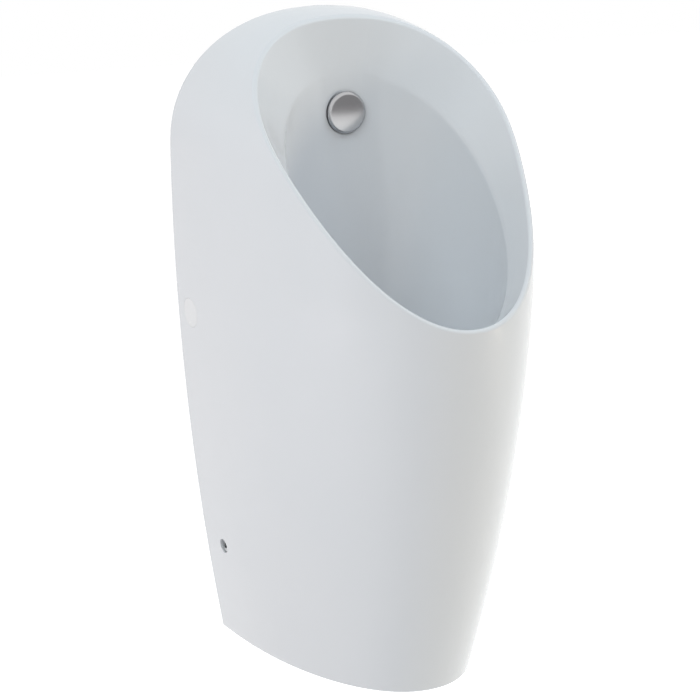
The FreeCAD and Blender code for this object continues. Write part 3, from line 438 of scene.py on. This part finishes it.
def dress(maker, *nodes):
    """Give nodes of the frame a finish."""
    for name in nodes:
        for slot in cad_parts[name].material_slots:
            slot.material = made(bpy.data.materials, maker)


# Pieces

def screw_thread(name, screw):
    """Helical ridge on the end of a side screw that stands past its nut."""
    sizes = settings().threads
    low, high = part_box(screw)
    middle = (low + high) / 2
    inward = -1.0 if middle.x > 0 else 1.0
    tip = high.x if middle.x < 0 else low.x
    count = int(sizes.threaded / sizes.pitch * THREAD_STEPS)
    foot = sizes.shank - sizes.sunk
    shape = bmesh.new()
    rings = []
    for step in range(count + 1):
        angle = math.tau * step / THREAD_STEPS
        along = tip - inward * (sizes.run_out + sizes.pitch * step / THREAD_STEPS)
        rise = sizes.crest * min(1.0, step / THREAD_STEPS, (count - step) / THREAD_STEPS)
        ring = []
        for offset, radius in ((-THREAD_FOOT, foot), (0.0, sizes.shank + rise), (THREAD_FOOT, foot)):
            across = middle.y + radius * math.cos(angle)
            up = middle.z + radius * math.sin(angle)
            ring.append(shape.verts.new((along + offset * sizes.pitch, across, up)))
        rings.append(ring)
    for one, two in zip(rings, rings[1:]):
        for corner in range(len(one)):
            after = (corner + 1) % len(one)
            shape.faces.new((one[corner], one[after], two[after], two[corner]))
    shape.faces.new(rings[0])
    shape.faces.new(rings[-1])
    bmesh.ops.recalc_face_normals(shape, faces=shape.faces)
    mesh = bpy.data.meshes.new(name)
    shape.to_mesh(mesh)
    shape.free()
    mesh.materials.append(made(bpy.data.materials, drawn_steel))
    item = add_object(name, mesh)
    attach(item, "urinal")


class URINAL_OT_ceramic(bpy.types.Operator):
    """Glaze the ceramic body"""

    bl_idname = "urinal.ceramic"
    bl_label = "Ceramic body"

    def execute(self, context):
        dress(white_glaze, "ceramic_body")
        return {"FINISHED"}


class URINAL_OT_cover_plugs(bpy.types.Operator):
    """Finish the flush plugs over the upper side holes"""

    bl_idname = "urinal.cover_plugs"
    bl_label = "Cover plugs"

    def execute(self, context):
        dress(cover_plastic, "left_cover_plug", "right_cover_plug")
        return {"FINISHED"}


class URINAL_OT_spray_head(bpy.types.Operator):
    """Finish the chrome cap and the parts that clamp the spray head"""

    bl_idname = "urinal.spray_head"
    bl_label = "Spray head"

    def execute(self, context):
        dress(polished_chrome, "spray_cap")
        dress(turned_brass, "spray_body", "spray_lock_nut", "inlet_coupling")
        dress(drawn_steel, "spray_steel_washer")
        dress(seal_rubber, "spray_gasket", "spray_rear_washer", "inlet_o_ring")
        dress(bush_plastic, "spray_distributor", "inlet_filter", "flow_regulator")
        return {"FINISHED"}


class URINAL_OT_trap(bpy.types.Operator):
    """Finish the drain, the strainer, the lift-out trap and the outlet"""

    bl_idname = "urinal.trap"
    bl_label = "Trap and outlet"

    def execute(self, context):
        dress(cover_plastic, "drain_flange")
        dress(drawn_steel, "strainer")
        dress(pipe_plastic, "trap_insert", "trap_body", "trap_cup", "outlet_pipe", "outlet_union_nut")
        dress(seal_rubber, "drain_flange_seal", "trap_insert_seal", "trap_top_seal", "trap_cup_seal")
        dress(seal_rubber, "outlet_cone_seal", "outlet_cuff")
        return {"FINISHED"}


class URINAL_OT_side_fixings(bpy.types.Operator):
    """Finish the brackets, bushes, screws and nuts, and thread the screws' ends"""

    bl_idname = "urinal.side_fixings"
    bl_label = "Side fixings"

    def execute(self, context):
        for side in SIDES:
            dress(drawn_steel, side + "_bracket", side + "_screw")
            dress(bush_plastic, side + "_bush")
            screw_thread(side + "_thread", side + "_screw")
        dress(drawn_steel, "bracket_nuts")
        return {"FINISHED"}


# Stage

def seen_rays(graph):
    """One for the eye's rays and for those by way of a mirror or glass, nothing for all others."""
    path = graph.add("ShaderNodeLightPath")
    seen = graph.math("MAXIMUM", path.outputs["Is Camera Ray"], path.outputs["Is Glossy Ray"])
    return graph.math("MAXIMUM", seen, path.outputs["Is Transmission Ray"])


def sheet(name, corners):
    """A flat sheet of the stage with a bare material."""
    mesh = bpy.data.meshes.new(name)
    mesh.from_pydata(corners, [], [(0, 1, 2, 3)])
    mesh.materials.append(bpy.data.materials.new(name))
    item = add_object(name, mesh)
    return item


def lamp(name, watts, place, aim, size, tone):
    """A round soft lamp that lights the urinal and shows in no mirror."""
    data = bpy.data.lights.new(name, "AREA")
    data.shape = "DISK"
    data.size = size
    data.energy = watts
    data.color = tone
    item = add_object(name, data)
    item.visible_glossy = False
    point(item, place, aim)


class URINAL_OT_stage(bpy.types.Operator):
    """Set the floor, the light and the camera"""

    bl_idname = "urinal.stage"
    bl_label = "Stage"

    def execute(self, context):
        stage = settings().stage
        context.scene.view_settings.view_transform = "Standard"
        self.floor(stage)
        self.card(stage)
        self.room(context.scene, stage)
        self.lamps(stage)
        self.camera(context.scene, stage)
        return {"FINISHED"}

    def floor(self, stage):
        """Pale matt floor that glows where it is seen, and can be seen through from below."""
        half = FLOOR_HALF
        height = -stage.floor_drop
        item = sheet("pale_floor", [
            (-half, -half, height),
            (half, -half, height),
            (half, half, height),
            (-half, half, height),
        ])
        graph = bare_graph(item.active_material)
        matt = graph.add("ShaderNodeBsdfDiffuse")
        matt.inputs["Color"].default_value = stage.floor_matt
        glow = graph.add("ShaderNodeEmission")
        glow.inputs["Color"].default_value = WHITE
        graph.link(graph.math("MULTIPLY", seen_rays(graph), stage.floor_glow), glow.inputs["Strength"])
        both = graph.add("ShaderNodeAddShader")
        graph.link(matt.outputs["BSDF"], both.inputs[0])
        graph.link(glow.outputs["Emission"], both.inputs[1])
        open_below = graph.add("ShaderNodeMixShader")
        graph.link(graph.add("ShaderNodeNewGeometry").outputs["Backfacing"], open_below.inputs["Fac"])
        graph.link(both.outputs["Shader"], open_below.inputs[1])
        graph.link(graph.add("ShaderNodeBsdfTransparent").outputs["BSDF"], open_below.inputs[2])
        out = graph.add("ShaderNodeOutputMaterial")
        graph.link(open_below.outputs["Shader"], out.inputs["Surface"])

    def card(self, stage):
        """Upright grey card that only mirrors see."""
        item = sheet("grey_card", [
            (*CARD_LEFT, CARD_LOW),
            (*CARD_RIGHT, CARD_LOW),
            (*CARD_RIGHT, CARD_HIGH),
            (*CARD_LEFT, CARD_HIGH),
        ])
        item.visible_camera = False
        item.visible_diffuse = False
        item.visible_shadow = False
        graph = bare_graph(item.active_material)
        glow = graph.add("ShaderNodeEmission")
        glow.inputs["Color"].default_value = stage.card
        out = graph.add("ShaderNodeOutputMaterial")
        graph.link(glow.outputs["Emission"], out.inputs["Surface"])

    def room(self, scene, stage):
        """Soft light all round, and white where it is seen."""
        scene.world = bpy.data.worlds.new("studio")
        graph = bare_graph(scene.world)
        soft = graph.add("ShaderNodeBackground")
        soft.inputs["Color"].default_value = stage.sky_tone
        soft.inputs["Strength"].default_value = stage.sky
        white = graph.add("ShaderNodeBackground")
        white.inputs["Color"].default_value = WHITE
        white.inputs["Strength"].default_value = 1.0
        mix = graph.add("ShaderNodeMixShader")
        graph.link(seen_rays(graph), mix.inputs["Fac"])
        graph.link(soft.outputs["Background"], mix.inputs[1])
        graph.link(white.outputs["Background"], mix.inputs[2])
        out = graph.add("ShaderNodeOutputWorld")
        graph.link(mix.outputs["Shader"], out.inputs["Surface"])

    def lamps(self, stage):
        """Cool lamps above, a warm low fill at the right and a soft lamp at the left."""
        lamp("key_lamp", stage.key_power, place=(-1.42, -0.75, 1.95), aim=BOWL_AIM,
             size=1.6, tone=(0.845, 0.95, 1.0))
        lamp("high_lamp", stage.high_power, place=(1.3, -0.7, 1.9), aim=BOWL_AIM,
             size=1.0, tone=(0.745, 0.885, 1.0))
        lamp("fill_lamp", stage.fill_power, place=(1.9, -1.6, -0.2), aim=FOOT_AIM,
             size=0.5, tone=(1.0, 0.89, 0.71))
        lamp("side_lamp", stage.side_power, place=(-2.35, -0.15, 0.0), aim=SIDE_AIM,
             size=0.9, tone=(1.0, 0.90, 0.93))

    def camera(self, scene, stage):
        """Camera at the photograph's viewing angle."""
        data = bpy.data.cameras.new("photo_camera")
        data.sensor_width = 36.0
        data.lens = stage.lens
        data.clip_end = 50.0
        scene.camera = add_object("photo_camera", data)
        point(scene.camera, EYE, EYE_AIM)


# Add-on

OPERATORS = (
    URINAL_OT_ceramic,
    URINAL_OT_cover_plugs,
    URINAL_OT_spray_head,
    URINAL_OT_trap,
    URINAL_OT_side_fixings,
    URINAL_OT_stage,
)


class URINAL_PT_pieces(bpy.types.Panel):
    """Lists the urinal's pieces and settings"""

    bl_idname = "URINAL_PT_pieces"
    bl_label = "Urinal"
    bl_space_type = "VIEW_3D"
    bl_region_type = "UI"
    bl_category = "Urinal"

    def draw(self, context):
        column = self.layout.column()
        for operator in OPERATORS:
            column.operator(operator.bl_idname)
        for part in UrinalSettings.__annotations__:
            box = self.layout.box()
            box.label(text=part.title())
            values = getattr(context.scene.urinal, part)
            for key in values.__annotations__:
                box.prop(values, key)


CLASSES = (
    UrinalGlaze,
    UrinalMetals,
    UrinalPlastics,
    UrinalThreads,
    UrinalStage,
    UrinalSettings,
    *OPERATORS,
    URINAL_PT_pieces,
)


def register():
    """Make the settings, operators and panel known."""
    for item in CLASSES:
        bpy.utils.register_class(item)
    bpy.types.Scene.urinal = PointerProperty(type=UrinalSettings)


def unregister():
    """Take the settings, operators and panel out again."""
    del bpy.types.Scene.urinal
    for item in reversed(CLASSES):
        bpy.utils.unregister_class(item)


def main():
    """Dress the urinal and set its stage."""
    register()
    bpy.ops.urinal.ceramic()
    bpy.ops.urinal.cover_plugs()
    bpy.ops.urinal.spray_head()
    bpy.ops.urinal.trap()
    bpy.ops.urinal.side_fixings()
    bpy.ops.urinal.stage()


if __name__ == "__main__":
    main()
